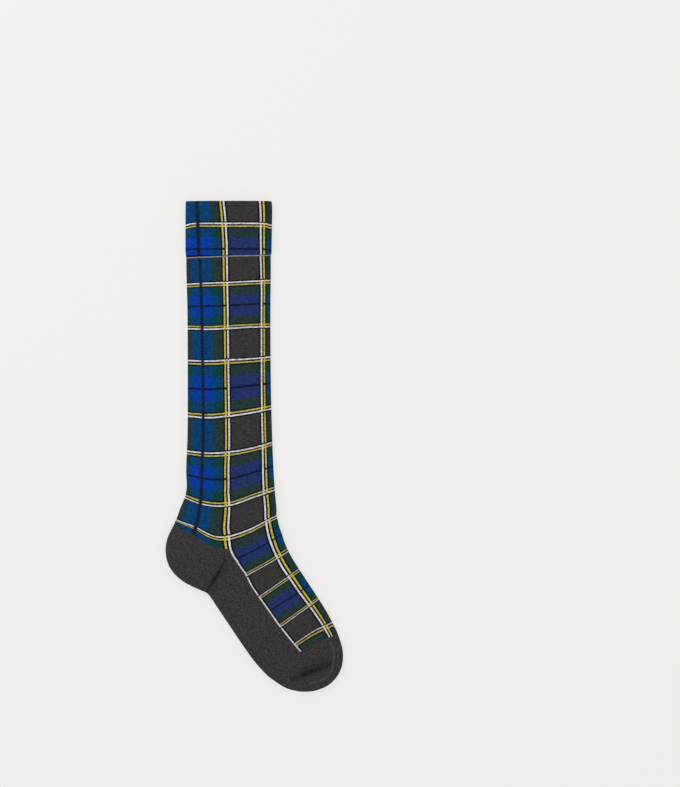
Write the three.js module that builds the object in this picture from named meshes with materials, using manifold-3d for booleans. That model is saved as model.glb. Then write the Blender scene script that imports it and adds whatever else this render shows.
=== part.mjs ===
// A knee-high knitted sock that lies flat on its side. Millimetres, +Z up.
// The leg runs along +Y, the toe points to +X and -Y, and the underside lies at Z = 0.
// The sock is one hollow tube, knitted in zones: cuff, leg, heel, instep, sole, toe and toe seam.
import * as THREE from 'three';
import { mergeVertices } from 'three/addons/utils/BufferGeometryUtils.js';
import Module from 'manifold-3d';

const wasm = await Module();
wasm.setup();

// Lengths along the sock.
const cuffHeight = 57.2;
const legLength = 303; // from the welt line down to the ankle centre
const footAhead = 181; // from the ankle centre to the tip of the toe
const heelReach = 27.8; // how far the heel pocket stands out behind the leg

// Flat widths, from fold to fold.
const cuffWidth = 91;
const legWidth = 88;
const footWidth = 93;

// The foot lies turned away from the leg's line, round a gentle bend.
const footTurn = THREE.MathUtils.degToRad(33.5);
const bendRadius = 124;

// Heights of the lying sock at its crown.
const cuffLoft = 10.8;
const legLoft = 9.2;
const heelLoft = 12;
const footLoft = 11;

// Knit thickness. The cuff is turned over, so it has two layers.
const cuffWall = 2.4;
const legWall = 1.2;
const footWall = 1.4;

// The fold at each side: how far it rolls in below, and how high its outermost line lies.
const foldRoll = 6;
const foldRise = 0.38; // share of the height there
const rollShare = 0.6; // the most of a narrow section's half width that the roll takes
const crownPower = 3.2; // how flat the top is between the folds

// Small sizes: the rounded rim of the cuff, the joint between two zones, the seam and the creases.
const rimFlat = 0.6;
const gap = 0.3;
const seamWidth = 2.2;
const seamProud = 0.5;
const creaseDepth = 1.8;
const creaseWidth = 5;

// How finely the tube is stepped round its top, round a fold and along each row of a table.
const topSteps = 18;
const rollSteps = 3;
const past = 5; // how far a cutting solid runs past what it cuts
const clear = 60; // how far a zone's outline lies outside the sock
const samePoint = 1e-5; // points closer than this are one

const legHalf = legWidth / 2;
const footHalf = footWidth / 2;
const tangent = bendRadius * Math.tan(footTurn / 2); // ankle centre to each end of the bend

// Sections of the leg, from the welt line to the bend. at is a share of the straight leg,
// back and front of half the leg's width, bulge of heelReach and loft of legLoft.
const legRows = [
  { at: 0.0, back: 1.035, front: 0.986, bulge: 0, loft: 1.0, steps: 2 },
  { at: 0.08, back: 1.03, front: 0.986, bulge: 0, loft: 1.0, steps: 2 },
  { at: 0.24, back: 1.006, front: 0.977, bulge: 0, loft: 1.0, steps: 3 },
  { at: 0.52, back: 1.0, front: 0.989, bulge: 0, loft: 1.0, steps: 3 },
  { at: 0.7, back: 1.005, front: 1.016, bulge: 0, loft: 1.02, steps: 2 },
  { at: 0.84, back: 0.992, front: 1.05, bulge: 0.07, loft: 1.06, steps: 2 },
  { at: 0.93, back: 0.97, front: 1.084, bulge: 0.1, loft: 1.12, steps: 2 },
];

// Sections round the bend. at is a share of footTurn, back and front of the half width there,
// bulge of heelReach and loft of heelLoft.
const heelRows = [
  { at: 0.0, back: 1.0, front: 1.123, bulge: 0.29, loft: 0.93, steps: 2 },
  { at: 0.14, back: 1.0, front: 1.11, bulge: 0.5, loft: 0.96, steps: 2 },
  { at: 0.29, back: 1.0, front: 1.112, bulge: 0.855, loft: 0.99, steps: 2 },
  { at: 0.43, back: 1.0, front: 1.107, bulge: 1.01, loft: 1.0, steps: 2 },
  { at: 0.57, back: 1.0, front: 1.105, bulge: 0.966, loft: 1.0, steps: 2 },
  { at: 0.71, back: 1.0, front: 1.09, bulge: 0.7, loft: 0.98, steps: 2 },
  { at: 0.86, back: 1.0, front: 1.061, bulge: 0.255, loft: 0.96, steps: 2 },
  { at: 0.93, back: 1.0, front: 1.047, bulge: 0.07, loft: 0.94, steps: 1 },
];

// Sections of the foot, from the bend to the tip of the toe. at is a share of the straight foot,
// back and front of half the foot's width and loft of footLoft.
const footRows = [
  { at: 0.0, back: 1.02, front: 1.032, bulge: 0, loft: 1.02, steps: 2 },
  { at: 0.12, back: 1.02, front: 1.003, bulge: 0, loft: 1.0, steps: 3 },
  { at: 0.5, back: 1.006, front: 0.993, bulge: 0, loft: 1.0, steps: 2 },
  { at: 0.66, back: 0.95, front: 0.952, bulge: 0, loft: 0.97, steps: 2 },
  { at: 0.74, back: 0.88, front: 0.911, bulge: 0, loft: 0.93, steps: 3 },
  { at: 0.84, back: 0.743, front: 0.814, bulge: 0, loft: 0.85, steps: 2 },
  { at: 0.91, back: 0.564, front: 0.678, bulge: 0, loft: 0.76, steps: 2 },
  { at: 0.957, back: 0.367, front: 0.522, bulge: 0, loft: 0.66, steps: 2 },
  { at: 0.985, back: 0.18, front: 0.35, bulge: 0, loft: 0.57, steps: 1 },
  { at: 1.0, back: -0.03, front: 0.18, bulge: 0, loft: 0.5, steps: 1 },
];

// Sections of the cuff, from the welt line up. at is a share of cuffHeight below the rim,
// back and front of half the cuff's width and loft of cuffLoft.
const cuffRows = [
  { at: 0.0, back: 1.012, front: 0.97, loft: 0.93 },
  { at: 0.1, back: 1.02, front: 0.972, loft: 0.98 },
  { at: 0.5, back: 1.02, front: 0.98, loft: 1.0 },
  { at: 0.85, back: 1.018, front: 0.988, loft: 1.0 },
  { at: 1.0, back: 1.01, front: 0.977, loft: 0.99 },
];

// Zone lines. In the leg's frame, across is a share of half the leg's width and up of heelReach;
// in the foot's frame, ahead is a share of footAhead and across of half the foot's width.
const heelCorner = { across: -0.01, up: -0.14 };
const heelTopLine = [
  { across: -1.65, up: 1.0 },
  { across: -1.29, up: 0.68 },
  { across: -0.83, up: 0.33 },
  { across: -0.48, up: 0.08 },
  { across: -0.14, up: -0.07 },
];
const instepTopLine = [
  { across: 0.32, up: -0.01 },
  { across: 0.88, up: 0.38 },
  { across: 1.19, up: 0.68 },
  { across: 1.6, up: 1.05 },
];
const heelSoleLine = [
  { ahead: 0.05, across: -0.05 },
  { ahead: 0.076, across: -0.22 },
  { ahead: 0.099, across: -0.45 },
  { ahead: 0.133, across: -0.67 },
  { ahead: 0.157, across: -0.9 },
  { ahead: 0.17, across: -1.3 },
];
const toeSoleLine = [
  { ahead: 0.744, across: 0.02 },
  { ahead: 0.725, across: -0.95 },
  { ahead: 0.715, across: -1.3 },
];
const toeInstepLine = [
  { ahead: 0.744, across: 0.02 },
  { ahead: 0.75, across: 0.36 },
  { ahead: 0.775, across: 0.79 },
  { ahead: 0.8, across: 1.3 },
];

// The linked seam across the top of the toe, in the foot's frame.
const seamLine = [
  { ahead: 0.79, across: 0.69 },
  { ahead: 0.845, across: 0.635 },
  { ahead: 0.885, across: 0.545 },
  { ahead: 0.92, across: 0.425 },
  { ahead: 0.944, across: 0.285 },
  { ahead: 0.953, across: 0.11 },
  { ahead: 0.945, across: -0.07 },
  { ahead: 0.925, across: -0.25 },
];

// Creases in the top layer, in the foot's frame. depth is a share of creaseDepth.
const creases = [
  { from: { ahead: 0.09, across: -0.36 }, to: { ahead: 0.157, across: -0.96 }, depth: 1.0 },
  { from: { ahead: 0.9, across: 0.42 }, to: { ahead: 0.862, across: -0.46 }, depth: 0.8 },
];

// Directions of the foot and across it, toward the instep, seen from above.
const footAxis = new THREE.Vector2(Math.sin(footTurn), -Math.cos(footTurn));
const footAcross = new THREE.Vector2(Math.cos(footTurn), Math.sin(footTurn));

// A point of the leg's frame seen from above, with the ankle centre at the origin.
function onLeg({ across, up }) {
  return new THREE.Vector2(across * legHalf, up * heelReach);
}

// A point of the foot's frame seen from above.
function onFoot({ ahead, across }) {
  return new THREE.Vector2()
    .addScaledVector(footAxis, ahead * footAhead)
    .addScaledVector(footAcross, across * footHalf);
}

// A smooth value between the rows of a table, at a whole row number plus a share of the next row.
function between(rows, place, key) {
  const last = rows.length - 1;
  const i = Math.min(Math.floor(place), last - 1);
  const t = place - i;
  const p = [i - 1, i, i + 1, i + 2].map((k) => rows[THREE.MathUtils.clamp(k, 0, last)][key]);
  const square = 2 * p[0] - 5 * p[1] + 4 * p[2] - p[3];
  const cube = 3 * (p[1] - p[2]) + p[3] - p[0];
  return p[1] + 0.5 * t * (p[2] - p[0] + t * (square + t * cube));
}

// How deep the creases press the top layer down at a point seen from above.
function dent(point) {
  let depth = 0;
  for (const crease of creases) {
    const start = onFoot(crease.from);
    const run = onFoot(crease.to).sub(start);
    const along = THREE.MathUtils.clamp(point.clone().sub(start).dot(run) / run.lengthSq(), 0, 1);
    const away = point.distanceTo(start.addScaledVector(run, along));
    depth += crease.depth * creaseDepth * Math.exp(-((away / creaseWidth) ** 2));
  }
  return depth;
}

// One section of the tube: its middle and its direction toward the front, seen from above, and
// how far it reaches from that middle to the back fold and the front fold.
function section(middle, toFront, back, front, floor, crown) {
  return { middle, toFront, back, front, floor, crown };
}

// The sections from the welt line to the toe, with every wall moved in by inset.
function tubeSections(inset) {
  const table = [...legRows, ...heelRows, ...footRows];
  const heelStart = legRows.length;
  const footStart = heelStart + heelRows.length;
  const legHalfIn = legHalf - inset;
  const footHalfIn = footHalf - inset;
  const straightLeg = legLength - gap / 2 - tangent;
  const straightFoot = footAhead - inset - tangent;
  const rows = table.map((row, i) => {
    const inLeg = i < heelStart;
    const inFoot = i >= footStart;
    const turned = inLeg ? 0 : inFoot ? 1 : row.at;
    const half = THREE.MathUtils.lerp(legHalfIn, footHalfIn, turned);
    const loft = inLeg ? legLoft : inFoot ? footLoft : heelLoft;
    const legPart = (inLeg ? row.at : 1) * straightLeg;
    const footPart = (inFoot ? row.at : 0) * straightFoot;
    return {
      along: legPart + turned * footTurn * bendRadius + footPart,
      back: row.back * half + row.bulge * heelReach,
      front: row.front * half,
      loft: row.loft * loft,
      steps: row.steps,
    };
  });
  const sections = [];
  rows.forEach((row, i) => {
    const steps = i === rows.length - 1 ? 1 : row.steps;
    for (let k = 0; k < steps; k += 1) {
      const place = i + k / steps;
      const { middle, toFront } = spine(between(rows, place, 'along'), straightLeg);
      const crown = between(rows, place, 'loft') - inset;
      const back = between(rows, place, 'back');
      const front = between(rows, place, 'front');
      sections.push(section(middle, toFront, back, front, inset, crown));
    }
  });
  return sections;
}

// The middle line of the sock: straight down the leg, round the bend and straight along the foot.
function spine(along, straightLeg) {
  const turned = THREE.MathUtils.clamp((along - straightLeg) / bendRadius, 0, footTurn);
  const toFront = new THREE.Vector2(Math.cos(turned), Math.sin(turned));
  const pivot = new THREE.Vector2(bendRadius, tangent);
  const middle = pivot.addScaledVector(toFront, -bendRadius);
  if (along < straightLeg) middle.y += straightLeg - along;
  const inFoot = along - straightLeg - footTurn * bendRadius;
  if (inFoot > 0) middle.addScaledVector(footAxis, inFoot);
  return { middle, toFront };
}

// The sections of the cuff. The rim is rounded between the two faces of the turned welt.
function cuffSections(inset, rimSign) {
  const rim = (cuffWall - rimFlat) / 2;
  const half = cuffWidth / 2;
  const bottom = legLength + gap / 2;
  const height = cuffHeight - gap / 2 - rim;
  const toFront = new THREE.Vector2(1, 0);
  const make = (row, up, extra) => {
    const moved = inset + extra;
    const middle = new THREE.Vector2(0, bottom + up);
    const crown = row.loft * cuffLoft - moved;
    return section(middle, toFront, row.back * half - moved, row.front * half - moved, moved, crown);
  };
  const sections = cuffRows.map((row) => make(row, row.at * height, 0));
  const top = cuffRows[cuffRows.length - 1];
  for (let k = 1; k <= rollSteps; k += 1) {
    const angle = (k / rollSteps) * (Math.PI / 2);
    const moved = rimSign * rim * (1 - Math.cos(angle));
    sections.push(make(top, height + rim * Math.sin(angle), moved));
  }
  return sections;
}

// The closed ring of points of one section: over the top from the back fold to the front fold,
// round the front fold, along the flat underside and round the back fold.
function ring({ middle, toFront, back, front, floor, crown }) {
  const half = (back + front) / 2;
  const centre = (front - back) / 2;
  const rise = floor + (crown - floor) * foldRise;
  const roll = Math.min(foldRoll, half * rollShare);
  const flat = half - roll;
  const points = [];
  const place = (across, z) => {
    const point = middle.clone().addScaledVector(toFront, centre + across);
    points.push(new THREE.Vector3(point.x, point.y, z));
    return point;
  };
  for (let k = 0; k <= topSteps; k += 1) {
    const share = -Math.cos((k / topSteps) * Math.PI);
    const lift = Math.sqrt(Math.max(0, 1 - Math.abs(share) ** crownPower));
    const seen = place(share * half, 0);
    points[k].z = rise + (crown - rise) * lift - dent(seen) * lift;
  }
  for (let k = 1; k <= rollSteps; k += 1) {
    const angle = (k / rollSteps) * (Math.PI / 2);
    place(flat + roll * Math.cos(angle), rise - (rise - floor) * Math.sin(angle));
  }
  place(0, floor);
  for (let k = rollSteps; k >= 1; k -= 1) {
    const angle = (k / rollSteps) * (Math.PI / 2);
    place(-flat - roll * Math.cos(angle), rise - (rise - floor) * Math.sin(angle));
  }
  return points;
}

// A solid from three.js geometry whose shared points are merged.
function solid(geometry) {
  geometry.deleteAttribute('normal');
  geometry.deleteAttribute('uv');
  const merged = mergeVertices(geometry, samePoint);
  const vertProperties = new Float32Array(merged.attributes.position.array);
  const triVerts = new Uint32Array(merged.index.array);
  return new wasm.Manifold(new wasm.Mesh({ numProp: 3, vertProperties, triVerts }));
}

// A solid skinned over the rings of a row of sections, closed at both ends.
function skin(sections) {
  const rings = sections.map(ring);
  const around = rings[0].length;
  const points = rings.flat();
  const faces = [];
  for (let i = 0; i < rings.length - 1; i += 1) {
    for (let k = 0; k < around; k += 1) {
      const a = i * around + k;
      const b = i * around + ((k + 1) % around);
      faces.push(a, a + around, b, b, a + around, b + around);
    }
  }
  const end = (rings.length - 1) * around;
  for (let k = 1; k < around - 1; k += 1) {
    faces.push(0, k, k + 1);
    faces.push(end, end + k + 1, end + k);
  }
  const geometry = new THREE.BufferGeometry().setFromPoints(points);
  geometry.setIndex(faces);
  return solid(geometry);
}

// A section moved along the spine's own direction, to run past an open end.
function runPast(from, distance) {
  const ahead = new THREE.Vector2(from.toFront.y, -from.toFront.x);
  return { ...from, middle: from.middle.clone().addScaledVector(ahead, distance) };
}

// The hollow of the tube, open at the welt line.
function hollow(wall) {
  const sections = tubeSections(wall);
  return skin([runPast(sections[0], -past), ...sections]);
}

// An upright block over an outline seen from above.
function block(outline) {
  const shape = new THREE.Shape(outline);
  const geometry = new THREE.ExtrudeGeometry(shape, { depth: heelLoft + 2 * past, bevelEnabled: false });
  geometry.translate(0, 0, -past);
  return solid(geometry);
}

// An upright strip of even width along a line seen from above.
function strip(line, width) {
  const left = [];
  const right = [];
  line.forEach((point, i) => {
    const before = line[Math.max(i - 1, 0)];
    const after = line[Math.min(i + 1, line.length - 1)];
    const ahead = after.clone().sub(before).normalize();
    const side = new THREE.Vector2(-ahead.y, ahead.x).multiplyScalar(width / 2);
    left.push(point.clone().add(side));
    right.push(point.clone().sub(side));
  });
  return block([...left, ...right.reverse()]);
}

// The zone lines, seen from above. The stripe down the side of the foot parts instep from sole.
const corner = onLeg(heelCorner);
const heelTop = [...heelTopLine.map(onLeg), corner];
const instepTop = [corner, ...instepTopLine.map(onLeg)];
const heelSole = heelSoleLine.map(onFoot);
const toeSole = toeSoleLine.map(onFoot);
const toeInstep = toeInstepLine.map(onFoot);
const stripe = [corner, heelSole[0], toeSole[0]];
const seam = new THREE.CatmullRomCurve3(seamLine.map(onFoot).map((p) => new THREE.Vector3(p.x, p.y, 0)));
const seamPoints = seam.getPoints(2 * topSteps).map((p) => new THREE.Vector2(p.x, p.y));

// Corners of the zone outlines well outside the sock.
const ends = {
  upBack: new THREE.Vector2(-legHalf - clear, legLength + clear),
  upFront: new THREE.Vector2(legHalf + clear, legLength + clear),
  heelBack: heelTop[0].clone().add(new THREE.Vector2(-clear, 0)),
  heelDown: heelSole[heelSole.length - 1].clone().addScaledVector(footAcross, -clear),
  instepOut: instepTop[instepTop.length - 1].clone().add(new THREE.Vector2(clear, 0)),
  toeBack: toeSole[toeSole.length - 1].clone().addScaledVector(footAxis, clear + footWidth),
  toeFront: toeInstep[toeInstep.length - 1].clone().addScaledVector(footAxis, clear + footWidth),
  toeOut: toeInstep[toeInstep.length - 1].clone().addScaledVector(footAcross, clear),
};
const zones = {
  leg: [ends.upFront, ends.upBack, ...heelTop, ...instepTop.slice(1)],
  heel: [ends.heelBack, ends.heelDown, ...heelSole.slice().reverse(), ...heelTop.slice().reverse()],
  sole: [...heelSole.slice().reverse(), ...toeSole],
  instep: [corner, heelSole[0], ...toeInstep, ends.toeOut, ends.instepOut, ...instepTop.slice(1).reverse()],
  toe: [...toeSole.slice().reverse(), ...toeInstep.slice(1), ends.toeFront, ends.toeBack],
};

const tube = skin(tubeSections(0));
const finishedLeg = tube.subtract(hollow(legWall));
const finishedFoot = tube.subtract(hollow(footWall));
const joints = [heelTop, instepTop, heelSole, toeSole, toeInstep, stripe]
  .map((line) => strip(line, gap))
  .reduce((all, one) => all.add(one));

// The wall of one zone of the tube, clear of its neighbours by the gap.
function zone(name, wall) {
  return wall.subtract(joints).intersect(block(zones[name]));
}

// The turned cuff: an outer face, an inner face one double layer in, and a rounded rim.
function makeCuff() {
  const outside = skin(cuffSections(0, 1).reverse());
  const inside = cuffSections(cuffWall, -1).reverse();
  const open = [runPast(inside[0], -past), ...inside, runPast(inside[inside.length - 1], past)];
  return outside.subtract(skin(open));
}

// The seam stands a little proud of the toe, in a slot through the toe's top layer.
function makeSeam() {
  const raised = tubeSections(0).map((one) => ({ ...one, crown: one.crown + seamProud }));
  const top = skin(raised.map((one) => ({ ...one, floor: one.crown * foldRise })));
  return top.subtract(hollow(footWall)).intersect(strip(seamPoints, seamWidth));
}

// The slot that the seam sits in. It leaves the underside whole.
function seamSlot() {
  const upper = tubeSections(-gap).map((one) => ({ ...one, floor: one.crown * foldRise - gap }));
  return skin(upper).intersect(strip(seamPoints, seamWidth + 2 * gap));
}

function material(colour) {
  return new THREE.MeshStandardMaterial({ color: colour, roughness: 0.95, metalness: 0 });
}

// One named mesh from a finished solid.
function mesh(name, shape, colour) {
  const { vertProperties, triVerts } = shape.getMesh();
  const geometry = new THREE.BufferGeometry();
  geometry.setAttribute('position', new THREE.BufferAttribute(new Float32Array(vertProperties), 3));
  geometry.setIndex(new THREE.BufferAttribute(new Uint32Array(triVerts), 1));
  geometry.computeVertexNormals();
  const result = new THREE.Mesh(geometry, material(colour));
  result.name = name;
  return result;
}

const sock = new THREE.Group();
sock.add(mesh('cuff', makeCuff(), '#1f3f6b'));
sock.add(mesh('leg', zone('leg', finishedLeg), '#173c74'));
sock.add(mesh('heel', zone('heel', finishedFoot), '#3d3a39'));
sock.add(mesh('instep', zone('instep', finishedLeg), '#1d3a58'));
sock.add(mesh('sole', zone('sole', finishedFoot), '#413e3d'));
sock.add(mesh('toe', zone('toe', finishedFoot).subtract(seamSlot()), '#3b3837'));
sock.add(mesh('toe_seam', makeSeam(), '#55504f'));

// The origin is under the middle of the whole sock, on the surface that it lies on.
const box = new THREE.Box3().setFromObject(sock);
const middle = box.getCenter(new THREE.Vector3());
const part = new THREE.Group();
sock.position.set(-middle.x, -middle.y, -box.min.z);
part.add(sock);

export default part;
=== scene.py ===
import logging
import math
from collections.abc import Callable
from dataclasses import dataclass, field
from enum import Enum

import bmesh
import bpy
import numpy as np
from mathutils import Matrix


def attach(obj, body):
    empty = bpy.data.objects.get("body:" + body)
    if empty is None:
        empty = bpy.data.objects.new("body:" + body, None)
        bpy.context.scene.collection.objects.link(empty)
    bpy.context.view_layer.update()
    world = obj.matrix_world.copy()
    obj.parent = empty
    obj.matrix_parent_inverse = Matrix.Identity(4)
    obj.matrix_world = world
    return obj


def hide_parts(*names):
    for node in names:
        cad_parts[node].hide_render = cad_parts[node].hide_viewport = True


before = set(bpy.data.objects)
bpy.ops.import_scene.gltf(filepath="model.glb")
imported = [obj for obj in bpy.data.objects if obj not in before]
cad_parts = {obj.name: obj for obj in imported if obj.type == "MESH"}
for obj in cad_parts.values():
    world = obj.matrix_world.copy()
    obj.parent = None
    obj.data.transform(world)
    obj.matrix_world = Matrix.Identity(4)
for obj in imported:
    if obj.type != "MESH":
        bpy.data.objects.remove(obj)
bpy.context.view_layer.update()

log = logging.getLogger("sock")
Numbers = np.ndarray
Pair = tuple[Numbers, Numbers]
Triple = tuple[Numbers, Numbers, Numbers]
Quad = tuple[Numbers, Numbers, Numbers, Numbers]
Colour = tuple[int, int, int]
Light = tuple[float, float, float, float]
Material = bpy.types.Material
Socket = bpy.types.NodeSocket
Source = Socket | float | Light

# The tartan's repeat and its stitches, in millimetres. Two repeats go round the tube.
REPEAT_ACROSS = 89.25
REPEAT_DOWN = 78.75
REPEAT_WALES = 108
REPEAT_COURSES = 120
WALE = REPEAT_ACROSS / REPEAT_WALES
COURSE = REPEAT_DOWN / REPEAT_COURSES
HALF_WALES = REPEAT_WALES / 2
HALF_COURSES = REPEAT_COURSES / 2

# The columns of the grids: those of the instep come first, then those of the heel and sole.
COLUMNS_ROUND = 170
INSTEP_COLUMNS = 87

# Where the faces and the rims of a wall lie on its baking sheet, whose sides are 1.
SHEET_EDGE = 0.005
SHEET_WIDTH = 0.99
OUTER_HEIGHT = 0.765
INNER_START = 0.825
INNER_HEIGHT = 0.17
RIM_EDGE = 0.003
RIM_WIDTH = 0.97
RIM_START = 0.78
RIM_HEIGHT = 0.012

# Vertices no further apart than this, in metres, are joined.
SAME_PLACE = 1e-6


class Zone(Enum):
    """The knitted zones, each named as its node in the frame."""

    CUFF = "cuff"
    LEG = "leg"
    HEEL = "heel"
    INSTEP = "instep"
    SOLE = "sole"
    TOE = "toe"
    TOE_SEAM = "toe_seam"


class Slot(Enum):
    """The material slots of the record, one for each zone."""

    CUFF = "tartan_cuff"
    LEG = "tartan_leg"
    HEEL = "charcoal_heel"
    INSTEP = "tartan_instep"
    SOLE = "charcoal_sole"
    TOE = "charcoal_toe"
    TOE_SEAM = "seam_yarn"


class Layer(Enum):
    """The two faces of a knitted wall."""

    OUTER = "outer"
    INNER = "inner"


@dataclass(frozen=True)
class Station:
    """One section of the tube, in shares of the sizes of its stretch."""

    at: float
    back: float
    front: float
    bulge: float
    loft: float


@dataclass(frozen=True)
class Crease:
    """A fold pressed into the top layer, from one point of the foot's frame to another."""

    start: tuple[float, float]
    end: tuple[float, float]
    depth: float
    width: float


@dataclass(frozen=True)
class CourseLine:
    """How far down the tube one course lies, at five even shares from the back to the front."""

    phase: float
    back: float
    quarter: float
    middle: float
    three_quarter: float
    front: float

    def places(self) -> list[float]:
        """Return the five places in order."""
        return [self.back, self.quarter, self.middle, self.three_quarter, self.front]


@dataclass(frozen=True)
class WaleLine:
    """How far toward the front three marked wales lie from the tube's middle line."""

    along: float
    black: float
    stripe: float
    second: float


def mm(value: float | Numbers) -> float | Numbers:
    """Return millimetres as metres."""
    return value * 0.001


def stitches_at(wale_place: Numbers, phase: Numbers) -> Numbers:
    """Return the knitting map's two numbers, in stitches, for places in millimetres."""
    return np.stack([wale_place / WALE + 0.5, phase / COURSE + 0.5], axis=-1)


def through(shares: list[float], values: Numbers, at: Numbers) -> Numbers:
    """Return the smooth curve through a few values.

    Args:
        shares: Where the values stand.
        values: One column for each share and one row for each wanted point, or one row for all.
        at: Where the curve is wanted.

    Returns:
        The curve's value at each place.
    """
    total = np.zeros_like(at)
    for i, own in enumerate(shares):
        weight = np.ones_like(at)
        for j, other in enumerate(shares):
            if j != i:
                weight = weight * (at - other) / (own - other)
        total = total + weight * values[..., i]
    return total


def between(p: list[Numbers], t: float | Numbers) -> Numbers:
    """Return the smooth step between the middle two of four values."""
    cubic = 3 * (p[1] - p[2]) + p[3] - p[0]
    square = 2 * p[0] - 5 * p[1] + 4 * p[2] - p[3] + cubic * t
    return p[1] + 0.5 * t * (p[2] - p[0] + square * t)


def smooth(places: Numbers, share: Numbers) -> Numbers:
    """Return the smooth curve through values at even shares.

    Args:
        places: One column for each even share and one row for each wanted point.
        share: Where the curve is wanted, from 0 to 1.

    Returns:
        The curve's value at each share.
    """
    last = places.shape[-1] - 1
    first = 2 * places[:, :1] - places[:, 1:2]
    end = 2 * places[:, -1:] - places[:, -2:-1]
    padded = np.concatenate([first, places, end], axis=1)
    spot = np.clip(share, 0, 1) * last
    row = np.minimum(spot.astype(int), last - 1)
    around = [np.take_along_axis(padded, (row + k)[:, None], axis=1)[:, 0] for k in range(4)]
    return between(around, spot - row)


@dataclass
class SockForm:
    """The lying sock's body: its middle line, its sections and its folds, in millimetres."""

    cuff_height: float = 57.2
    leg_length: float = 303.0
    foot_ahead: float = 181.0
    heel_reach: float = 27.8
    cuff_half: float = 45.5
    leg_half: float = 44.0
    foot_half: float = 46.5
    foot_turn: float = math.radians(33.5)
    bend_radius: float = 124.0
    cuff_loft: float = 10.8
    leg_loft: float = 9.2
    heel_loft: float = 12.0
    foot_loft: float = 11.0
    fold_roll: float = 6.0
    roll_limit: float = 0.6
    roll_spread: float = 1.25
    fold_rise: float = 0.38
    crown_power: float = 3.2
    joint: float = 0.3
    # Crease depth, in millimetres, at which the shade painted into the creases is at its darkest.
    deep_crease: float = 5.0
    top_start: float = 3.0
    slow_wave: float = 0.22
    quick_wave: float = 0.13
    ankle: tuple[float, float] = (-26.066, -102.48)
    cuff_stations: tuple[Station, ...] = (
        Station(0.0, 1.012, 0.97, 0, 0.93),
        Station(0.1, 1.02, 0.972, 0, 0.995),
        Station(0.5, 1.02, 0.98, 0, 1.0),
        Station(0.85, 1.018, 0.988, 0, 1.0),
        Station(1.0, 1.01, 0.977, 0, 0.99),
    )
    leg_stations: tuple[Station, ...] = (
        Station(0.0, 1.035, 0.986, 0, 1.0),
        Station(0.08, 1.03, 0.986, 0, 1.0),
        Station(0.24, 1.006, 0.977, 0, 1.0),
        Station(0.52, 1.0, 0.989, 0, 1.0),
        Station(0.7, 1.005, 1.016, 0, 1.02),
        Station(0.84, 0.992, 1.05, 0.07, 1.06),
        Station(0.93, 0.97, 1.084, 0.1, 1.12),
    )
    heel_stations: tuple[Station, ...] = (
        Station(0.0, 1.0, 1.123, 0.29, 0.93),
        Station(0.14, 1.0, 1.11, 0.5, 0.96),
        Station(0.29, 1.0, 1.112, 0.855, 0.99),
        Station(0.43, 1.0, 1.107, 1.01, 1.0),
        Station(0.57, 1.0, 1.105, 0.966, 1.0),
        Station(0.71, 1.0, 1.09, 0.7, 0.98),
        Station(0.86, 1.0, 1.061, 0.255, 0.96),
        Station(0.93, 1.0, 1.047, 0.07, 0.94),
    )
    foot_stations: tuple[Station, ...] = (
        Station(0.0, 1.02, 1.032, 0, 1.02),
        Station(0.12, 1.02, 1.003, 0, 1.0),
        Station(0.5, 1.006, 0.993, 0, 1.0),
        Station(0.66, 0.95, 0.952, 0, 0.97),
        Station(0.74, 0.88, 0.911, 0, 0.93),
        Station(0.84, 0.743, 0.814, 0, 0.85),
        Station(0.91, 0.564, 0.678, 0, 0.76),
        Station(0.957, 0.367, 0.522, 0, 0.66),
        Station(0.985, 0.18, 0.35, 0, 0.57),
        Station(1.0, -0.03, 0.18, 0, 0.5),
    )
    creases: tuple[Crease, ...] = (
        Crease((0.065, -0.27), (0.1, -0.52), 2.9, 1.7),
        Crease((0.1, -0.52), (0.157, -0.99), 4.4, 1.8),
        Crease((0.085, -0.3), (0.15, -0.9), 1.6, 5.5),
        Crease((0.9, 0.42), (0.892, 0.16), 2.6, 2.9),
        Crease((0.892, 0.16), (0.868, -0.27), 3.3, 3.0),
        Crease((0.868, -0.27), (0.858, -0.47), 2.2, 2.9),
        Crease((0.885, 0.36), (0.86, -0.2), 1.9, 6.5),
    )

    def __post_init__(self) -> None:
        """Work out the middle line and the smooth run of sections once."""
        self.tangent = self.bend_radius * math.tan(self.foot_turn / 2)
        self.straight_leg = self.leg_length - self.joint / 2 - self.tangent
        self.bend = self.foot_turn * self.bend_radius
        self.end = self.straight_leg + self.bend + self.foot_ahead - self.tangent
        rows = [
            self._row(s, 0.0, s.at * self.straight_leg, self.leg_loft) for s in self.leg_stations
        ]
        rows += [
            self._row(s, s.at, self.straight_leg + s.at * self.bend, self.heel_loft)
            for s in self.heel_stations
        ]
        self.foot_start = self.straight_leg + self.bend
        run = self.foot_ahead - self.tangent
        rows += [
            self._row(s, 1.0, self.foot_start + s.at * run, self.foot_loft) for s in self.foot_stations
        ]
        self.runs = self._smooth(np.array(rows))
        self.top_shares, self.top_arcs = self._top_profile()

    def _row(self, station: Station, turned: float, along: float, loft: float) -> list[float]:
        """Return a station as along, back, front and crown."""
        half = self.leg_half + (self.foot_half - self.leg_half) * turned
        back = station.back * half + station.bulge * self.heel_reach
        return [along, back, station.front * half, station.loft * loft]

    def _smooth(self, rows: Numbers, steps: int = 24) -> Numbers:
        """Return the rows with smooth steps between them.

        Args:
            rows: Along, back, front and crown of each station.
            steps: How many steps lie between two stations.

        Returns:
            The same four columns, many rows.
        """
        last = len(rows) - 1
        out = []
        for i in range(last):
            around = [rows[min(max(k, 0), last)] for k in (i - 1, i, i + 1, i + 2)]
            out += [between(around, step / steps) for step in range(steps)]
        return np.array([*out, rows[last]])

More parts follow.
